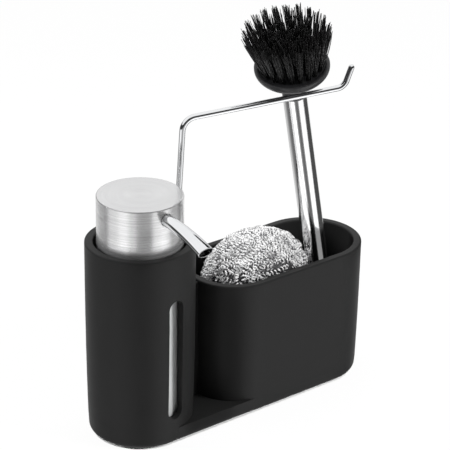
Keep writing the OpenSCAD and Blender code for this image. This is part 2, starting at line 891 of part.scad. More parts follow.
module handle_foot() {
    color("#1d1d1e")
        on_brush()
            rotate_extrude()
                polygon(concat(
                    shifted(arc(handle_r, -90, 0, foot_steps), 0, -fix_gap),
                    [[handle_r - handle_t - fix_gap, -fix_gap],
                     [handle_r - handle_t - fix_gap, plug_l], [0, plug_l]]
                ));
}

// The neck bends under a low bead, which covers where its two halves meet
module brush_neck() {
    plug_r = handle_r - handle_t - fix_gap;
    bead_turn = asin(neck_bead_h / neck_bead_r);
    color("#161617")
        union() {
            on_brush()
                rotate_extrude()
                    polygon([
                        [0, handle_l - neck_plug_l],
                        [plug_r, handle_l - neck_plug_l],
                        [plug_r, handle_l + fix_gap],
                        [neck_collar_d / 2, handle_l + fix_gap],
                        [neck_collar_d / 2, head_pivot_l], [0, head_pivot_l]
                    ]);
            on_brush(head_pivot_l)
                rotate_extrude()
                    polygon(concat(
                        [[0, -neck_bead_h]],
                        arc(neck_bead_r, -bead_turn, bead_turn, edge_steps),
                        [[0, neck_bead_h]]
                    ));
            on_head()
                cylinder(d = neck_collar_d, h = neck_top_l);
        }
}

module brush_head() {
    bowl_h = head_depth - head_lip_h;
    color("#161617")
        on_head()
            translate([0, 0, neck_top_l + fix_gap])
                rotate_extrude()
                    polygon(concat(
                        [[0, 0], [neck_collar_d / 2, 0]],
                        [for (i = [bowl_first:bowl_steps]) let (a = -90 + 90 * i / bowl_steps)
                            [head_r * cos(a), bowl_h + bowl_h * sin(a)]],
                        [
                            [head_r, head_depth - head_lip_edge],
                            [head_r - head_lip_edge, head_depth],
                            [plate_r, head_depth],
                            [plate_r, plate_z - neck_top_l - fix_gap],
                            [0, plate_z - neck_top_l - fix_gap]
                        ]
                    ));
}

module tuft_plate() {
    color("#121213")
        on_head()
            translate([0, 0, plate_z + fix_gap])
                cylinder(r = plate_r - fix_gap, h = plate_t - fix_gap);
}

// One tuft seen from above: a strand in the middle and a ring of strands round it
module tuft_pattern() {
    square(strand_w, center = true);
    for (k = [0:strands_round - 1])
        rotate(360 * k / strands_round)
            translate([strand_pitch, 0])
                square(strand_w, center = true);
}

module bristles() {
    echo(strands = (strands_round + 1) * (tuft_counts * [for (t = tuft_counts) 1]));
    color("#0e0e0f")
        on_head()
            translate([0, 0, slice_z])
                resize([0, 0, slice_t + bristle_l])
                    union() {
                        cylinder(r = plate_r - 2 * fix_gap, h = slice_t);
                        translate([0, 0, slice_t / 2])
                            linear_extrude(bristle_l + slice_t / 2, scale = bristle_spread)
                                for (r = [0:len(tuft_counts) - 1])
                                    for (k = [0:tuft_counts[r] - 1])
                                        rotate(360 * (k + r / 2) / tuft_counts[r])
                                            translate([plate_r * tuft_radius_shares[r], 0])
                                                tuft_pattern();
                    }
}

// The scourer's surface: a squeezed ball with lumps that repeat along all three axes
function lump_wave(place) = cos(360 * scourer_lump_rows * place);
function lump(way) = 1 - scourer_lump_share * (1 - lump_wave(way.x) * lump_wave(way.y) * lump_wave(way.z));
module scourer() {
    points = concat(
        [[0, 0, -scourer_rz]],
        [for (i = [1:scourer_rings - 1]) for (j = [0:scourer_sides - 1])
            let (
                b = 180 * i / scourer_rings - 90,
                a = 360 * j / scourer_sides,
                way = [cos(b) * cos(a), cos(b) * sin(a), sin(b)],
                s = lump(way)
            )
            [scourer_rx * s * way.x, scourer_ry * s * way.y, scourer_rz * s * way.z]],
        [[0, 0, scourer_rz]]
    );
    end = len(points) - 1;
    color("#b4b6b9")
        translate([scourer_x, 0, scourer_z])
            polyhedron(points, concat(
                [for (j = [0:scourer_sides - 1]) [0, 1 + j, 1 + (j + 1) % scourer_sides]],
                ring_faces(scourer_rings - 1, scourer_sides, 1, true),
                [for (j = [0:scourer_sides - 1])
                    [end, end - scourer_sides + (j + 1) % scourer_sides, end - scourer_sides + j]]
            ));
}

caddy_body();
base_pad();
rail_socket();
towel_rail();
soap_bottle();
neck_gasket();
screw_closure();
pump_barrel();
barrel_collar();
ball_retainer();
inlet_ball();
dip_tube();
return_spring();
pump_stem();
piston();
piston_seal();
cap_shell();
cap_core();
spout();
feed_tube();
brush_handle();
handle_foot();
brush_neck();
brush_head();
tuft_plate();
bristles();
scourer();
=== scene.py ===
import json
import math

import bpy
import numpy as np
from mathutils import Matrix, Vector


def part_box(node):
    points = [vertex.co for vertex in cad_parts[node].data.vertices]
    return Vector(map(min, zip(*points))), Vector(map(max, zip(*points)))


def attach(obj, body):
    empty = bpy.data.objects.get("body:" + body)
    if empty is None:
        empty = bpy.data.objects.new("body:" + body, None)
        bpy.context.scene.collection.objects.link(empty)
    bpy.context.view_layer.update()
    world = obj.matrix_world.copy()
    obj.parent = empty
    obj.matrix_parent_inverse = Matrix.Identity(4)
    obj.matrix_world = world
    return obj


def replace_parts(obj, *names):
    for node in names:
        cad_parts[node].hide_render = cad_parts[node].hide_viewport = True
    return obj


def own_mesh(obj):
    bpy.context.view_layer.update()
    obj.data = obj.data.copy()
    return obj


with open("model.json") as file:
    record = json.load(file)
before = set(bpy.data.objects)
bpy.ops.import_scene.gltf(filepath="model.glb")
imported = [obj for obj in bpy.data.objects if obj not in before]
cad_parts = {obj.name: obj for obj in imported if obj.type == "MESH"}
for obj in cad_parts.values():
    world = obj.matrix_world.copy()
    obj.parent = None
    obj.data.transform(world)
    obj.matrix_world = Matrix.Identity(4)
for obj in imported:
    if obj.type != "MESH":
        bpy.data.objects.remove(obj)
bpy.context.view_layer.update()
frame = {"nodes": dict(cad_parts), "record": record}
nodes = frame["nodes"]

# Shapes are in millimetres and degrees, and the scene is in metres
MM = 0.001

# Distance from the middle to the axis of each round end of the base. The pump stands on the left one
END_X = 70.5
PUMP_X = -END_X
# Foot and lean of the brush's handle
HANDLE_FOOT = np.array([85.3, -4, 19.7])
HANDLE_LEAN = 10.7


# Camera, at the photograph's place

CAMERA_PLACE = Vector((-830.54, -1013.75, 718.56))
CAMERA_AZIMUTH, CAMERA_ELEVATION, CAMERA_ROLL = -39.254, 24.422, 0.82
FOCAL_PIXELS, PICTURE_PIXELS, SENSOR_WIDTH = 2231.7, 450, 36


def place_camera():
    azimuth, elevation, roll = map(math.radians, (CAMERA_AZIMUTH, CAMERA_ELEVATION, CAMERA_ROLL))
    back = Vector((math.sin(azimuth) * math.cos(elevation), -math.cos(azimuth) * math.cos(elevation),
                   math.sin(elevation)))
    right = (-back).cross(Vector((0, 0, 1))).normalized()
    up = back.cross(right)
    turned_right = right * math.cos(roll) + up * math.sin(roll)
    turned_up = up * math.cos(roll) - right * math.sin(roll)
    data = bpy.data.cameras.new("camera")
    data.sensor_width = SENSOR_WIDTH
    data.lens = FOCAL_PIXELS / PICTURE_PIXELS * SENSOR_WIDTH
    data.clip_start, data.clip_end = 0.05, 20
    camera = bpy.data.objects.new("camera", data)
    bpy.context.scene.collection.objects.link(camera)
    turn = Matrix((turned_right, turned_up, back)).transposed()
    camera.matrix_world = Matrix.Translation(CAMERA_PLACE * MM) @ turn.to_4x4()
    bpy.context.scene.camera = camera


place_camera()


# Finishes

class Field:
    """A node's output. Arithmetic on it adds Math nodes to its graph."""

    def __init__(self, graph, socket):
        self.graph, self.socket = graph, socket

    def __add__(self, other):
        return self.graph.maths("ADD", self, other)

    __radd__ = __add__

    def __sub__(self, other):
        return self.graph.maths("SUBTRACT", self, other)

    def __rsub__(self, other):
        return self.graph.maths("SUBTRACT", other, self)

    def __mul__(self, other):
        return self.graph.maths("MULTIPLY", self, other)

    __rmul__ = __mul__

    def __pow__(self, other):
        return self.graph.maths("POWER", self, other)

    def __abs__(self):
        return self.graph.maths("ABSOLUTE", self)


class Graph:
    """A node tree that is built by calls."""

    def __init__(self, tree):
        self.tree = tree

    def add(self, kind, settings, inputs, output=0):
        node = self.tree.nodes.new(kind)
        for key, value in settings.items():
            if key == "stops":
                ramp = node.color_ramp
                while len(ramp.elements) < len(value):
                    ramp.elements.new(0.5)
                for element, (place, colour) in zip(ramp.elements, value):
                    element.position, element.color = place, (*colour, 1)
            else:
                setattr(node, key, value)
        for key, value in inputs.items():
            if isinstance(value, Field):
                self.tree.links.new(value.socket, node.inputs[key])
            else:
                node.inputs[key].default_value = value
        return Field(self, node.outputs[output])

    def link(self, field, node, socket):
        self.tree.links.new(field.socket, node.inputs[socket])

    def maths(self, operation, *values):
        return self.add("ShaderNodeMath", {"operation": operation}, dict(enumerate(values)))

    def angle(self, y, x):
        """Angle in radians from the X way towards the Y way."""
        return self.maths("ARCTAN2", y, x)

    def place(self):
        return self.add("ShaderNodeTexCoord", {}, {}, "Object")

    def ray(self, kind):
        """1 where the ray is of this kind, and 0 elsewhere."""
        return self.add("ShaderNodeLightPath", {}, {}, kind)

    def step(self, value, low, high):
        """0 below low and 1 above high, with a soft rise. Where high is the lower one, it falls."""
        return self.add("ShaderNodeMapRange", {"interpolation_type": "SMOOTHSTEP"},
                        {"Value": value, "From Min": low, "From Max": high})

    def bands(self, value, stops):
        """Grey that changes from stop to stop, given as (place, brightness)."""
        return self.add("ShaderNodeValToRGB", {"stops": [(p, grey(v)) for p, v in stops]}, {"Fac": value})

    def mapped(self, vector, shift=(0, 0, 0), turn=(0, 0, 0)):
        return self.add("ShaderNodeMapping", {}, {"Vector": vector, "Location": shift, "Rotation": turn})

    def split(self, vector):
        node = self.add("ShaderNodeSeparateXYZ", {}, {"Vector": vector}).socket.node
        return [Field(self, output) for output in node.outputs]

    def joined(self, x, y, z):
        return self.add("ShaderNodeCombineXYZ", {}, {0: x, 1: y, 2: z})

    def noise(self, vector, scale, detail, roughness=0.55):
        return self.add("ShaderNodeTexNoise", {}, {"Vector": vector, "Scale": scale, "Detail": detail,
                                                   "Roughness": roughness})

    def between(self, amount, low, high):
        """Colour from low to high by amount."""
        low, high = [end if isinstance(end, Field) else (*end, 1) for end in (low, high)]
        return self.add("ShaderNodeMix", {"data_type": "RGBA"}, {0: amount, 6: low, 7: high}, 2)

    def bump(self, height, distance, strength):
        return self.add("ShaderNodeBump", {}, {"Height": height, "Distance": distance,
                                               "Strength": strength})


class Finish(Graph):
    """A material whose constants sit on the shader's own sockets."""

    def __init__(self, name, **constants):
        self.material = bpy.data.materials.new(name)
        self.material.use_nodes = True
        super().__init__(self.material.node_tree)
        self.shader = self.tree.nodes["Principled BSDF"]
        for key, value in constants.items():
            socket = self.shader.inputs[key.replace("_", " ")]
            socket.default_value = (*value, 1) if isinstance(value, tuple) else value

    def feed(self, name, field):
        self.link(field, self.shader, name)
        return self


def grey(value):
    return (value, value, value)


def cast_resin():
    resin = Finish("cast_resin", Specular_IOR_Level=0.17)
    place = resin.place()
    cloud = resin.noise(place, 24, 4)
    grain = resin.noise(place, 1900, 2) + resin.noise(place, 420, 2) * 0.8
    resin.feed("Base Color", resin.between(cloud, grey(0.011), grey(0.014)))
    resin.feed("Roughness", cloud * 0.08 + 0.44)
    return resin.feed("Normal", resin.bump(grain, 0.00006, 0.5)).material


def pad_foam():
    foam = Finish("pad_foam", Specular_IOR_Level=0.25)
    cells = foam.add("ShaderNodeTexVoronoi", {}, {"Vector": foam.place(), "Scale": 1300}, "Distance")
    foam.feed("Base Color", foam.between(cells, grey(0.012), grey(0.03)))
    foam.feed("Roughness", cells * 0.15 + 0.78)
    return foam.feed("Normal", foam.bump(cells, 0.0002, 0.6)).material


def moulded(name, low, high, rough, grain=900, depth=0.00003, **constants):
    """A plain surface with faint clouds from one colour to another, and a fine grain."""
    finish = Finish(name, **constants)
    place = finish.place()
    cloud = finish.noise(place, 60, 3)
    finish.feed("Base Color", finish.between(cloud, low, high))
    finish.feed("Roughness", cloud * 0.12 + (rough - 0.06))
    return finish.feed("Normal", finish.bump(finish.noise(place, grain, 2), depth, 0.5)).material


def bright_chrome():
    metal = Finish("bright_chrome", Metallic=1.0)
    place = metal.place()
    smear = metal.noise(place, 55, 3)
    fine = metal.noise(place, 700, 2)
    metal.feed("Base Color", metal.between(smear, (0.80, 0.81, 0.83), (0.88, 0.885, 0.89)))
    metal.feed("Roughness", smear * 0.05 + fine * 0.02 + 0.035)
    return metal.feed("Normal", metal.bump(fine, 0.000008, 0.3)).material


def brushed_cap():
    """Lines round the cap's side, and a plainer sheen on its flat top."""
    steel = Finish("cap_brushed_steel", Metallic=0.88, Anisotropic=0.8, Anisotropic_Rotation=0.25)
    side_end, top_start = 162.6, 163.2
    x, y, z = steel.split(steel.mapped(steel.place(), shift=(-PUMP_X * MM, 0, 0)))
    angle, radius = steel.angle(y, x), (x * x + y * y) ** 0.5
    lines = steel.noise(steel.joined(angle * 0.5, radius * 1200, z * 1100), 1.0, 3, 0.7)
    wide = steel.noise(steel.joined(angle * 0.3, radius * 160, z * 320), 1.0, 2)
    top = steel.step(z, side_end * MM, top_start * MM)
    streaks = steel.step(lines * 0.7 + wide * 0.3, 0.34, 0.66)
    side = steel.between(streaks, (0.68, 0.68, 0.685), (0.87, 0.87, 0.875))
    steel.feed("Base Color", steel.between(top * 0.75, side, (0.60, 0.60, 0.605)))
    steel.feed("Roughness", lines * 0.10 + 0.17)
    return steel.feed("Normal", steel.bump(lines * (1 - top * 0.85), 0.00001, 0.5)).material


def brushed_handle():
    """Fine lines along the leaning handle."""
    steel = Finish("handle_brushed_steel", Metallic=1.0)
    along = steel.mapped(steel.place(), shift=tuple(-HANDLE_FOOT * MM))
    x, y, z = steel.split(steel.mapped(along, turn=(0, math.radians(HANDLE_LEAN), 0)))
    lines = steel.noise(steel.joined(steel.angle(y, x) * 60, z * 26, 0), 1.0, 3, 0.65)
    steel.feed("Base Color", steel.between(lines, (0.70, 0.70, 0.705), (0.82, 0.82, 0.825)))
    steel.feed("Roughness", lines * 0.08 + 0.10)
    return steel.feed("Normal", steel.bump(lines, 0.00001, 0.5)).material


def scourer_ribbon_steel():
    steel = Finish("scourer_ribbon_steel", Metallic=0.45)
    place = steel.place()
    patch = steel.noise(place, 160, 3)
    steel.feed("Base Color", steel.between(patch, (0.93, 0.93, 0.935), grey(1.0)))
    steel.feed("Roughness", patch * 0.12 + 0.10)
    return steel.feed("Normal", steel.bump(steel.noise(place, 2500, 2), 0.00002, 0.4)).material


def scourer_inner_painted_shade():
    """The inside that shows between the turns: painted shade, dark low down, with spots of painted light
    higher up.
    """
    inner = Finish("scourer_inner_painted_shade", Metallic=0.5)
    # Heights below which the inside is all painted shade, and above which its spots of painted light are
    # full
    shade_below, lit_spots_above = 90, 112
    place = inner.place()
    height = inner.split(place)[2]
    spots = inner.noise(place, 900, 3, 0.7)
    # Painted light: the light spots show only higher up, where light falls on the ball's top
    light = inner.step(spots, 0.35, 0.65) * inner.step(height, shade_below * MM, lit_spots_above * MM)
    inner.feed("Base Color", inner.between(light, (0.05, 0.05, 0.052), (0.75, 0.75, 0.76)))
    inner.feed("Roughness", spots * 0.3 + 0.35)
    return inner.feed("Normal", inner.bump(spots, 0.0006, 0.9)).material


def bristle_nylon():
    """Near black, with a glint on some filaments."""
    nylon = Finish("bristle_nylon", Specular_IOR_Level=0.25, Coat_Roughness=0.10)
    place = nylon.place()
    tone = nylon.noise(place, 300, 2)
    nylon.feed("Coat Weight", nylon.step(nylon.noise(place, 620, 2), 0.50, 0.58))
    nylon.feed("Base Color", nylon.between(tone, grey(0.002), grey(0.006)))
    return nylon.feed("Roughness", tone * 0.15 + 0.16).material


FINISHES = {
    "cast_black": cast_resin(),
    "pad_black": pad_foam(),
    "socket_grey": moulded("socket_nylon", (0.03, 0.03, 0.032), (0.05, 0.05, 0.052), 0.45),
    "rail_chrome": bright_chrome(),
    # The white bottle is painted grey: painted shade for its place deep behind the window
    "bottle_white": moulded("bottle_plastic_painted_shade", (0.34, 0.345, 0.345), (0.43, 0.435, 0.435), 0.36,
                            grain=240, depth=0.00006),
    "pump_white": moulded("pump_plastic", (0.78, 0.79, 0.79), (0.86, 0.865, 0.865), 0.38),
    "gasket_grey": moulded("gasket_rubber", (0.12, 0.12, 0.125), (0.18, 0.18, 0.185), 0.7),
    "valve_steel": moulded("valve_steel", (0.58, 0.58, 0.6), (0.68, 0.68, 0.7), 0.25, Metallic=1.0),
    "cap_steel": brushed_cap(),
    "spout_chrome": bright_chrome(),
    "feed_black": moulded("feed_plastic", grey(0.006), grey(0.014), 0.5),
    "handle_steel": brushed_handle(),
    "brush_black": moulded("brush_plastic", (0.010, 0.010, 0.011), (0.017, 0.017, 0.018), 0.40,
                           grain=1100, depth=0.00004),
    "bristle_black": bristle_nylon(),
    "scourer_metal": scourer_ribbon_steel(),
}
for part in frame["record"]["subparts"]:
    slots = nodes[part["node"]].data.materials
    for i in range(len(slots)):
        slots[i] = FINISHES[part["material_slot"]]


# Shapes

def solid(name, points, faces, body, finish):
    """A piece in one finish that moves with its body."""
    mesh = bpy.data.meshes.new(name)
    mesh.from_pydata([tuple(p) for p in np.asarray(points) * MM], [], faces)
    mesh.polygons.foreach_set("use_smooth", [True] * len(mesh.polygons))
    mesh.update()
    piece = bpy.data.objects.new(name, mesh)
    bpy.context.scene.collection.objects.link(piece)
    mesh.materials.append(FINISHES[finish])
    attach(piece, body)
    return piece


def in_mm(box):
    """Low and high corner of a box, in millimetres."""
    return [np.array(corner) / MM for corner in box]


def unit(v):
    return v / np.linalg.norm(v, axis=-1, keepdims=True)


def turn_about(axis, degrees):
    return np.array(Matrix.Rotation(math.radians(degrees), 3, axis))


def ring_quads(rings, sides, first=0):
    """Faces between neighbouring rings of points."""
    i, j = np.meshgrid(np.arange(rings - 1), np.arange(sides), indexing="ij")
    a = first + i * sides + j
    b = first + i * sides + (j + 1) % sides
    return np.stack([a, b, b + sides, a + sides], -1).reshape(-1, 4).tolist()


def end_faces(rings, sides):
    """The two faces that close a pipe of rings."""
    return [list(range(sides - 1, -1, -1)), list(range((rings - 1) * sides, rings * sides))]


def rings_along(line, radii, sides, side_way):
    """Rings of points round a line; side_way is a direction that the line never takes."""
    line = np.asarray(line, float)
    ahead = unit(np.gradient(line, axis=0))
    across = unit(np.cross(np.asarray(side_way, float), ahead))
    over = np.cross(ahead, across)
    t = np.linspace(0, 2 * math.pi, sides, endpoint=False)
    radii = np.broadcast_to(radii, len(line))[:, None, None]
    return (line[:, None] + radii * (np.cos(t)[None, :, None] * across[:, None]
                                     + np.sin(t)[None, :, None] * over[:, None])).reshape(-1, 3)


def lathed(profile, sides):
    """Points and faces of a profile of [radius, height] turned round Z."""
    t = np.linspace(0, 2 * math.pi, sides, endpoint=False)
    profile = np.asarray(profile, float)
    points = np.stack([profile[:, :1] * np.cos(t), profile[:, :1] * np.sin(t),
                       np.repeat(profile[:, 1:], sides, 1)], -1).reshape(-1, 3)
    return points, ring_quads(len(profile), sides)


# Towel rail: the solid's middle line with finer bends, a wider bend at the tip and a rounded end

WIRE_R = 2.0
RAIL_PLACE = np.array([-34, 12])
RAIL_TURN = -18.12
RAIL_FOOT_Z, RAIL_KINK_Z = 67.5, 97.1
POST_RISE, BAR_LENGTH, TIP_LENGTH = 103.41, 109.95, 14.6
POST_LEAN, BAR_RISE, TIP_LEAN = 3.0, 4.2, 20.0
KINK_R, CORNER_R, TIP_R = 12, 9, 7.5
# How much of the rounded end lies within the tip's length
DOME_SINK = 1.0


def rail_line():
    """Middle line as [along the rail, height], and its last direction as an angle from upright."""
    corner, tip = 90 - POST_LEAN - BAR_RISE, 90 - BAR_RISE - TIP_LEAN
    kink_cut = KINK_R * math.tan(math.radians(POST_LEAN / 2))
    corner_cut = CORNER_R * math.tan(math.radians(corner / 2))
    tip_cut = TIP_R * math.tan(math.radians(tip / 2))
    # Length of each straight run, and the bend after it
    runs = [
        (RAIL_KINK_Z - RAIL_FOOT_Z - kink_cut, POST_LEAN, KINK_R),
        (POST_RISE / math.cos(math.radians(POST_LEAN)) - kink_cut - corner_cut, corner, CORNER_R),
        (BAR_LENGTH - corner_cut - tip_cut, -tip, TIP_R),
        (TIP_LENGTH - tip_cut - DOME_SINK, 0, 0),
    ]
    run_steps, bend_step = 4, 4
    x, z, a = 0.0, RAIL_FOOT_Z, 0.0
    line = [(x, z)]
    for length, bend, radius in runs:
        for _ in range(run_steps):
            x, z = x + length / run_steps * math.sin(a), z + length / run_steps * math.cos(a)
            line.append((x, z))
        r = math.copysign(radius, bend)
        count = math.ceil(abs(bend) / bend_step)
        x0, z0, a0 = x, z, a
        for k in range(1, count + 1):
            a = a0 + math.radians(bend) * k / count
            x, z = x0 + r * (math.cos(a0) - math.cos(a)), z0 - r * (math.sin(a0) - math.sin(a))
            line.append((x, z))
    return np.array(line), a


def make_rail():
    sides = 28
    flat, a = rail_line()
    dome = np.radians([25, 45, 63, 78])
    radii = np.concatenate([np.full(len(flat), WIRE_R), WIRE_R * np.cos(dome)])
    flat = np.vstack([flat, flat[-1] + np.outer(WIRE_R * np.sin(dome), [math.sin(a), math.cos(a)])])
    turn = math.radians(RAIL_TURN)
    along = np.array([math.cos(turn), math.sin(turn)])
    line = np.column_stack([RAIL_PLACE + np.outer(flat[:, 0], along), flat[:, 1]])
    points = rings_along(line, radii, sides, (math.sin(turn), -math.cos(turn), 0))
    faces = ring_quads(len(line), sides) + end_faces(len(line), sides)
    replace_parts(solid("rail_wire", points, faces, "rail", "rail_chrome"), "towel_rail")


make_rail()


# Spout: one curved pipe with a rolled mouth. Places along it are distances from the pump's axis

SPOUT_Z = 155.9
SPOUT_START, SPOUT_MOUTH = 19.5, 66
CAP_R = 27.5
BEND_START, BEND_RUN, BEND_DROP = 22, 44, 7.7
PIPE_R, MOUTH_WIDER, MOUTH_LOWER = 4.1, 1.6, 0.6
PIPE_WALL = 0.6


def spout_place(y):
    out = np.maximum(0, y - BEND_START)
    return np.stack([np.full_like(y, PUMP_X), -y, SPOUT_Z - BEND_DROP * (out / BEND_RUN) ** 2], 1)


def make_spout():
    sides, lip_r = 48, PIPE_WALL / 2
    y = np.linspace(SPOUT_START, SPOUT_MOUTH, 60)
    share = np.maximum(0, y - CAP_R) / (SPOUT_MOUTH - CAP_R)
    half = np.stack([PIPE_R + MOUTH_WIDER * share, PIPE_R - MOUTH_LOWER * share], 1)
    # Out along the pipe's outside, round the lip and back along its inside
    outer, inner = spout_place(y), spout_place(y[::-1])
    lip = np.radians(np.linspace(0, 180, 7))
    end = spout_place(np.array([SPOUT_MOUTH - lip_r, SPOUT_MOUTH]))
    ahead = unit(end[1] - end[0])
    line = np.vstack([outer[:-1], outer[-1] + np.outer(lip_r * np.sin(lip) - lip_r, ahead), inner[1:]])
    half = np.vstack([half[:-1], half[-1] - lip_r + lip_r * np.cos(lip)[:, None],
                      half[::-1][1:] - PIPE_WALL])
    t = np.linspace(0, 2 * math.pi, sides, endpoint=False)
    up = half[:, 1:] * np.sin(t)
    slope = np.arctan(2 * BEND_DROP * np.maximum(0, -line[:, 1] - BEND_START) / BEND_RUN ** 2)[:, None]
    points = np.stack([
        line[:, :1] + half[:, :1] * np.cos(t),
        line[:, 1:2] - up * np.sin(slope),
        line[:, 2:] + up * np.cos(slope),
    ], -1).reshape(-1, 3)
    faces = ring_quads(len(line), sides)
    last = len(points) - sides
    faces += [[j, last + j, last + (j + 1) % sides, (j + 1) % sides] for j in range(sides)]
    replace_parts(solid("spout_pipe", points, faces, "pump_head", "spout_chrome"), "spout")


make_spout()


# Return spring: the same coil as the solid

def make_spring():
    low, high = in_mm(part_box("return_spring"))
    middle, wire_r, turns, stroke = (low + high) / 2, 0.45, 7, 12
    sides, steps = 10, 24 * turns
    a = np.linspace(0, 2 * math.pi * turns, steps + 1)
    coil_r = (high[1] - low[1]) / 2 - wire_r
    height = high[2] - low[2] - 2 * wire_r
    line = np.stack([middle[0] + coil_r * np.cos(a), middle[1] + coil_r * np.sin(a),
                     low[2] + wire_r + height * a / a[-1]], 1)
    faces = ring_quads(len(line), sides) + end_faces(len(line), sides)
    coil = solid("spring_coil", rings_along(line, wire_r, sides, (0, 0, 1)), faces, "pump", "valve_steel")
    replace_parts(coil, "return_spring")
    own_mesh(coil)


make_spring()


# Brush: the handle leans, and the head has a tilted axis of its own above the neck's bend

PIVOT_L, NECK_TOP, HEAD_DEPTH, PLATE_R = 191.4, 5.4, 14, 21.4
HEAD_SWING, HEAD_TILT = -25, 11.4
HANDLE_TURN = turn_about("Y", -HANDLE_LEAN)
HEAD_TURN = HANDLE_TURN @ turn_about("Z", HEAD_SWING) @ turn_about("X", HEAD_TILT)
HEAD_PIVOT = HANDLE_FOOT + HANDLE_TURN @ np.array([0, 0, PIVOT_L])


def on_head(points):
    return HEAD_PIVOT + np.asarray(points, float) @ HEAD_TURN.T


def make_handle():
    """A steel tube with rounded ends. The rings beside them keep the shading of its long side even."""
    outer, inner, length = 7.8, 6.6, 186
    end = [(inner, 0.2), (inner + 0.3, 0), (outer - 0.3, 0), (outer, 0.3), (outer, 0.7), (outer, 1.1)]
    profile = end + [(r, length - z) for r, z in end[::-1]] + end[:1]
    points, faces = lathed(profile, 72)
    points = HANDLE_FOOT + points @ HANDLE_TURN.T
    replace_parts(solid("handle_tube", points, faces, "brush", "handle_steel"), "brush_handle")


make_handle()


def make_bell():
    """A bell with a low collar and a soft lip. Its heights are from its seat on the neck."""
    seat_gap = 0.03
    bowl_r, bowl_z, lip_r, lip_rise, floor_z = 24.3, 12, 0.7, 0.9, 11
    collar = [(0.01, 0), (4, 0), (7.6, 0), (7.9, 0.12), (8.1, 1.2), (8.5, 1.9), (9.4, 2.3), (11.5, 2.6)]
    bowl = [(bowl_r * math.cos(a) ** 1.2, bowl_z + bowl_z * math.sin(a))
            for a in np.radians(np.linspace(-48, 0, 22))]
    lip = [(bowl_r - lip_r + lip_r * math.cos(a), bowl_z + lip_rise + lip_r * math.sin(a))
           for a in np.radians(np.linspace(0, 90, 8))]
    inner = [(22.2, 13.62), (21.7, 13.5), (PLATE_R + 0.02, 13.1), (PLATE_R, 12.2), (PLATE_R, floor_z),
             (0.01, floor_z)]
    points, faces = lathed(np.array(collar + bowl + lip + inner) + (0, NECK_TOP + seat_gap), 120)
    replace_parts(solid("bell", on_head(points), faces, "brush", "brush_black"), "brush_head")


make_bell()


# Bristles: tufts of fine filaments that lean outward from the same rings as the solid

def make_tufts():
    rng = np.random.default_rng(7)
    # Tufts in each ring, and the ring's share of the plate's radius
    rings = ((4, 0.17), (10, 0.41), (16, 0.66), (22, 0.905))
    tuft_r, filament_r, filaments, full_length = 1.35, 0.29, 22, 28
    root_sink, taper, outward = 0.6, 0.35, 0.37
    root_z = NECK_TOP + HEAD_DEPTH - root_sink
    sides, steps = 6, 7
    s = np.linspace(0, 1, steps)[:, None]
    radius = filament_r * (1 - taper * s[:, 0] ** 3)
    sway = (HEAD_TURN.T @ np.array([-1.5, 1.2, 0]))[:2]
    points, faces = [], []
    for n, (count, share) in enumerate(rings):
        # The outermost ring is the neatest
        loose = 0.5 if n == len(rings) - 1 else 1.7
        for k in range(count):
            a = 2 * math.pi * (k + n / 2) / count
            middle = PLATE_R * share * np.array([math.cos(a), math.sin(a)])
            for _ in range(filaments):
                r, b = tuft_r * math.sqrt(rng.random()), 2 * math.pi * rng.random()
                root = middle + r * np.array([math.cos(b), math.sin(b)])
                spread = (root - middle) * rng.uniform(0.25, 1.0)
                lean = sway + middle * outward + spread + rng.normal(0, loose, 2)
                length = full_length + rng.uniform(-3.0, 0.6)
                bend = rng.normal(0, 0.35, 2)
                flat = root + lean * s + bend * np.sin(s * math.pi)
                line = np.hstack([flat, root_z + s * length])
                first = len(points) * sides * steps
                points.append(rings_along(line, radius, sides, (1, 0.01, 0)))
                faces += ring_quads(steps, sides, first)
                faces.append([first + (steps - 1) * sides + j for j in range(sides)])
    tufts = solid("bristle_tufts", on_head(np.vstack(points)), faces, "brush", "bristle_black")
    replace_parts(tufts, "bristles")


make_tufts()


# Scourer: curled flat ribbon wound all over a squeezed ball, with an inside painted dark as shade

def lump(way):
    """Reach of the solid's lumps, in directions of a ball that is squeezed later."""
    depth_share = 0.028
    waves = np.cos(4 * math.pi * way)
    return 1 - depth_share * (1 - np.prod(waves, axis=-1, keepdims=True))


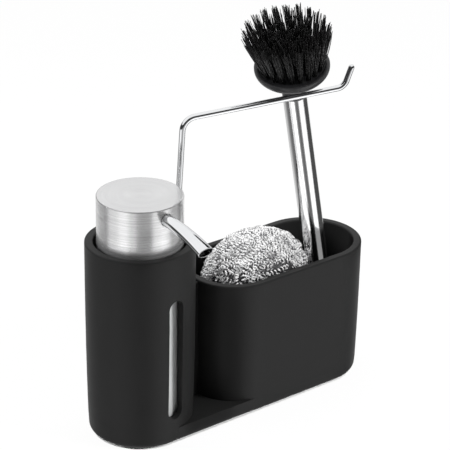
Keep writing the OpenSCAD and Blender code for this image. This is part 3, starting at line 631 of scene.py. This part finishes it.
def make_scourer():
    low, high = in_mm(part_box("scourer"))
    ball_middle, ball_half = (low + high) / 2, (high - low) / 2
    rng = np.random.default_rng(11)
    strands, per_turn, mean_r, ribbon_half = 430, 10, 33, 0.42
    shown_share, core_share = 0.70, 0.958
    points, faces = [], []
    first = 0
    for n in range(strands):
        # Each strand follows part of a great circle, which wanders a little
        axis = unit(rng.normal(0, 1, 3))
        start = unit(np.cross(axis, rng.normal(0, 1, 3)))
        other = np.cross(axis, start)
        arc = rng.uniform(0.9, 1.6)
        coil = rng.uniform(0.8, 1.4)
        pitch = rng.uniform(1.5, 2.6)
        turns = int(arc * mean_r / pitch)
        count = turns * per_turn
        t = np.linspace(0, arc, count)
        depth = 1 - rng.uniform(0.024, 0.075) + 0.012 * np.sin(t * 9 + n)
        wander = 0.10 * np.sin(t * rng.uniform(2, 5) + n)[:, None] * axis
        way = unit(np.cos(t)[:, None] * start + np.sin(t)[:, None] * other + wander)
        line = way * lump(way) * ball_half * depth[:, None]
        # The ribbon curls round that line
        ahead = unit(np.gradient(line, axis=0))
        out = unit(way / ball_half)
        out = unit(out - ahead * np.sum(out * ahead, 1, keepdims=True))
        side = np.cross(ahead, out)
        spin = np.linspace(0, turns * 2 * math.pi, count) + rng.uniform(0, 6)
        loose = coil * (1 + 0.2 * np.sin(t * 23 + n))
        round_way = np.cos(spin)[:, None] * out + np.sin(spin)[:, None] * side
        path = line + loose[:, None] * round_way
        half = ribbon_half * unit(ahead + 0.4 * round_way)
        points.append(np.stack([path - half, path + half], 1).reshape(-1, 3))
        k = first + 2 * np.arange(count - 1)
        # Low down and at the ball's left end, some turns are left out, and the inside, painted dark as
        # shade, shows
        covered = (way[:-1, 2] > 0.34) & (way[:-1, 0] > -0.72)
        shown = covered | (rng.random(turns)[np.arange(count - 1) // per_turn] < shown_share)
        faces += np.stack([k, k + 1, k + 3, k + 2], 1)[shown].tolist()
        first += 2 * count
    # No ribbon stands out past the solid's surface, and the points of turns left out are dropped
    ribbon = np.vstack(points) / ball_half
    reach = np.linalg.norm(ribbon, axis=1, keepdims=True) / lump(unit(ribbon))
    ribbon = ribbon / np.maximum(reach, 1) * ball_half + ball_middle
    used, place = np.unique(np.array(faces), return_inverse=True)
    ribbon, faces = ribbon[used], place.reshape(-1, 4).tolist()
    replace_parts(solid("scourer_ribbon", ribbon, faces, "scourer", "scourer_metal"), "scourer")

    # A core painted dark as the shade between the turns, with painted light higher up
    profile = [(math.cos(a), math.sin(a)) for a in np.radians(np.linspace(-89.9, 89.9, 60))]
    core, core_faces = lathed(profile, 96)
    core = core * core_share * lump(unit(core)) * ball_half + ball_middle
    piece = solid("scourer_shade_core", core, core_faces, "scourer", "scourer_metal")
    piece.data.materials[0] = scourer_inner_painted_shade()


make_scourer()


# Floor, cards, world and lamps

def stage_piece(name, points, material):
    """A flat piece that belongs to the setting."""
    mesh = bpy.data.meshes.new(name)
    mesh.from_pydata([tuple(p) for p in np.asarray(points) * MM], [], [(0, 1, 2, 3)])
    piece = bpy.data.objects.new(name, mesh)
    bpy.context.scene.collection.objects.link(piece)
    mesh.materials.append(material)
    return piece


def make_floor():
    half, drop = 6000, 0.2
    floor = Finish("floor_white", Base_Color=(0.9, 0.9, 0.9), Roughness=0.9, Specular_IOR_Level=0.0)
    # The camera sees the floor glow white, less a share that keeps the shadow. The floor doesn't glow
    # under the base, so that the gap beside the pad stays dark
    glow_start, glow_full, glow_share = 30.5, 31.1, 0.96
    x, y = floor.split(floor.place())[:2]
    past = floor.maths("MAXIMUM", abs(x) - END_X * MM, 0)
    reach = (past * past + y * y) ** 0.5
    past_base = floor.step(reach, glow_start * MM, glow_full * MM)
    share = floor.ray("Is Camera Ray") * (past_base * glow_share)
    plain = Field(floor, floor.shader.outputs[0])
    glow = floor.add("ShaderNodeEmission", {}, {})
    mix = floor.add("ShaderNodeMixShader", {}, {0: share, 1: plain, 2: glow})
    floor.link(mix, floor.tree.nodes["Material Output"], "Surface")
    corners = [(-half, -half, -drop), (half, -half, -drop), (half, half, -drop), (-half, half, -drop)]
    stage_piece("floor", corners, floor.material).visible_glossy = False


def make_card(name, corners, brightness):
    """A card that only reflections see."""
    finish = Finish(name, Base_Color=grey(0.0), Specular_IOR_Level=0.0, Emission_Color=grey(brightness),
                    Emission_Strength=1.0)
    card = stage_piece(name, corners, finish.material)
    card.visible_camera = card.visible_diffuse = card.visible_shadow = card.visible_transmission = False


make_floor()
make_card("gap_card", [(-52, -42, -5), (-14, -42, -5), (-14, -42, 80), (-52, -42, 80)], 0.004)
make_card("side_card", [(114, -68, 70), (141, 18, 70), (141, 18, 182), (114, -68, 182)], 0.085)


# Studio round the object. A stop is an angle from the camera's side, which grows towards the picture's
# right, and the brightness there, or for ROOM_RISE the height of the dark room's ceiling.
# LOW_PANELS are what metal sees when it looks steeply down, and PANELS what it sees elsewhere.
PANELS = (
    (-180, 0.80), (-142, 0.55), (-122, 0.27), (-96, 0.24), (-82, 0.95), (-72, 1.1), (-34, 1.1), (-20, 0.45),
    (0, 0.40), (28, 0.42), (44, 0.80), (64, 1.12), (80, 0.98), (95, 0.45), (126, 0.30), (146, 0.75),
    (180, 0.80))
LOW_PANELS = (
    (-180, 1.1), (-135, 0.74), (-115, 0.42), (-98, 0.22), (-84, 0.17), (-70, 0.25), (-60, 0.8), (-52, 1.45),
    (-14, 1.45), (-4, 0.5), (6, 0.17), (22, 0.16), (31, 0.26), (42, 1.4), (76, 1.4), (83, 1.0),
    (93, 0.24), (104, 0.10), (135, 0.10), (150, 0.9), (180, 1.1))
ROOM_RISE = (
    (-180, 0.0), (-130, 0.0), (-110, 0.30), (-40, 0.34), (-10, 0.74), (100, 0.74), (125, 0.0), (180, 0.0))


def make_world():
    """White behind the object. Metal sees a studio of bright panels, darker gaps and a white ceiling."""
    world = bpy.data.worlds.new("studio")
    world.use_nodes = True
    bpy.context.scene.world = world
    sky = Graph(world.node_tree)
    x, y, z = sky.split(sky.add("ShaderNodeTexCoord", {}, {}, "Generated"))
    turn = math.radians(CAMERA_AZIMUTH)
    right = x * math.cos(turn) + y * math.sin(turn)
    front = x * math.sin(turn) - y * math.cos(turn)
    share = sky.angle(right, front) * (0.5 / math.pi) + 0.5

    def round_about(stops):
        return sky.bands(share, [((angle + 180) / 360, value) for angle, value in stops])

    studio = sky.between(sky.step(z, -0.43, -0.50), round_about(PANELS), round_about(LOW_PANELS))
    # A dark room between the panels and the ceiling, widest on the right
    over = z - sky.add("ShaderNodeSeparateColor", {}, {0: round_about(ROOM_RISE)})
    room = sky.step(z, -0.20, -0.06) * (1 - sky.step(over, -0.07, 0.03))
    studio = sky.between(room, studio, grey(0.04))
    ceiling = sky.step(over, 0.0, 0.12) * sky.step(z, 0.25, 0.40)
    studio = sky.between(ceiling, studio, grey(1.0))
    seen = sky.between(sky.ray("Is Diffuse Ray"), grey(1.0), grey(0.06))
    sky.link(sky.between(sky.ray("Is Glossy Ray"), seen, studio), sky.tree.nodes["Background"], "Color")


make_world()


def area_lamp(name, width, height, watts, place, turn):
    """A lamp that shines along its own -Z; width, height and place are in metres."""
    data = bpy.data.lights.new(name, "AREA")
    data.shape, data.size, data.size_y, data.energy = "RECTANGLE", width, height, watts
    lamp = bpy.data.objects.new(name, data)
    bpy.context.scene.collection.objects.link(lamp)
    lamp.matrix_world = Matrix.Translation(place) @ turn.to_4x4()
    return lamp


def soft_lamp(name, place, target, size, watts):
    """A lamp that no reflection sees."""
    turn = (Vector(target) - Vector(place)).to_track_quat("-Z", "Y").to_matrix()
    area_lamp(name, size, size, watts, place, turn).visible_glossy = False


soft_lamp("right_lamp", (0.62, -1.02, 0.62), (0.02, 0, 0.1), 0.35, 22.5)
soft_lamp("left_lamp", (-1.0, 0.66, 0.50), (0, 0, 0.1), 0.4, 15)
soft_lamp("top_lamp", (0.05, 0.15, 1.35), (0, 0, 0.1), 0.5, 12)


def strip_lamp(name, first, last, low, watts):
    """A lamp along the handle, between two angles from the camera's side, which only reflections see."""
    # Distance from the handle's axis, and heights along it: of the strip's top and of the angles' middle
    distance, top, middle = 22, 180, 120
    lean = Matrix(HANDLE_TURN)
    along = lean @ Vector((0, 0, 1))
    toward = lean.transposed() @ (CAMERA_PLACE - Vector(HANDLE_FOOT) - along * middle)
    angle = math.atan2(toward.y, toward.x) + math.radians((first + last) / 2)
    half = math.radians((last - first) / 2)
    out = lean @ Vector((math.cos(angle), math.sin(angle), 0))
    place = Vector(HANDLE_FOOT) + out * distance * math.cos(half) + along * (top + low) / 2
    turn = Matrix((along.cross(out), along, out)).transposed()
    lamp = area_lamp(name, 2 * distance * math.sin(half) * MM, (top - low) * MM, watts, place * MM, turn)
    lamp.visible_camera = lamp.visible_diffuse = lamp.visible_transmission = False


strip_lamp("handle_left_strip", -54, -14, 80, 0.0046)
strip_lamp("handle_front_strip", 21, 62, 48, 0.0022)

scene = bpy.context.scene
scene.view_settings.view_transform = "Standard"
